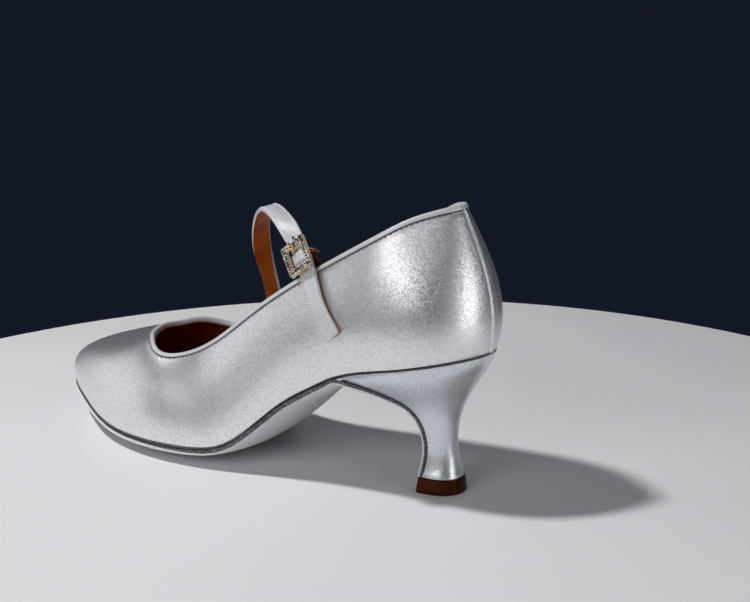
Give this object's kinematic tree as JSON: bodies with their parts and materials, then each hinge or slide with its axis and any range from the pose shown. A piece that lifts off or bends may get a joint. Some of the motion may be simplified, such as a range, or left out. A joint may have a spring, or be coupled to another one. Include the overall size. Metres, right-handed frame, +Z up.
{
  "type": "ballroom dance shoe",
  "caption": "Low-cut silver ballroom court shoe for the left foot, with a diagonal instep strap, a square stone-set buckle and a covered flared heel on a hard tip.",
  "frame": {"origin": "on the floor, at the flat bottom of the heel tip, at the middle of its round back", "axes": "+X to the toe, +Y to the wearer's left, which is the shoe's outer side, +Z up"},
  "size_m": [0.2221, 0.0771, 0.1126],
  "materials": {
    "upper": "fine sparkling silver leather",
    "topline_binding": "smooth pale silver leather",
    "insole": "smooth tan leather",
    "outsole": "grey suede with a dark cut edge",
    "heel": "silver leather cover over a hard core",
    "heel_tip": "glossy dark red-brown",
    "strap": "pale silver leather, tan back",
    "buckle_tab": "tan leather",
    "buckle_frame": "polished pale gold, set with clear stones",
    "buckle_prong": "polished pale gold"
  },
  "bodies": {
    "root": {"upper": "upper", "topline_binding": "topline_binding", "insole": "insole", "outsole": "outsole", "heel": "heel", "heel_tip": "heel_tip", "strap": "strap", "buckle_tab": "buckle_tab", "buckle_frame": "buckle_frame", "buckle_prong": "buckle_prong"}
  },
  "joints": []
}
